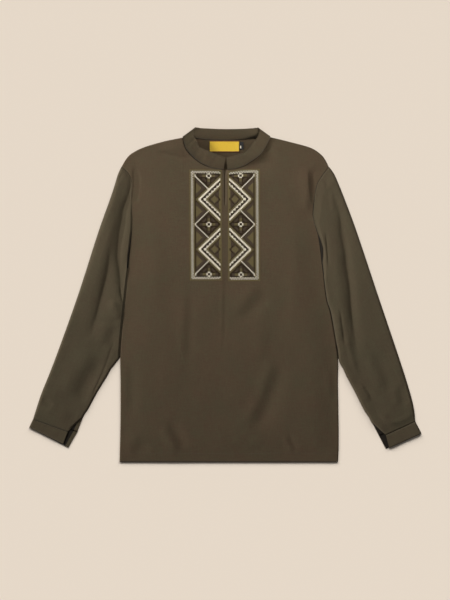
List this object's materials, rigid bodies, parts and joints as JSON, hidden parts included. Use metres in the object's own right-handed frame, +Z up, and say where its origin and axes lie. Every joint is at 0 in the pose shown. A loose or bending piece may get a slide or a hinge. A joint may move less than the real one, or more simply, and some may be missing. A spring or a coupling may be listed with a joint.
{
  "type": "vyshyvanka shirt",
  "caption": "Long-sleeved embroidered shirt with a stand collar and a neck slit, laid out flat on its back.",
  "frame": {"origin": "on the surface that the shirt lies on, in the middle of its outline", "axes": "+Z up out of the surface, +Y towards the collar, +X towards the sleeve on the right of the picture"},
  "size_m": [0.8898, 0.7595, 0.0295],
  "materials": {
    "shirting": "matt olive-brown plain-weave linen, dry hand, no sheen to speak of",
    "collar_cloth": "the same olive-brown linen, doubled and stiffened",
    "label_weave": "bright yellow woven satin tape with folded ends",
    "tab_weave": "black woven tape"
  },
  "bodies": {
    "root": {"front": "shirting", "back": "shirting", "sleeve_left": "shirting", "sleeve_right": "shirting", "cuff_left": "shirting", "cuff_right": "shirting", "collar": "collar_cloth", "neck_label": "label_weave", "size_tab": "tab_weave"}
  },
  "joints": []
}
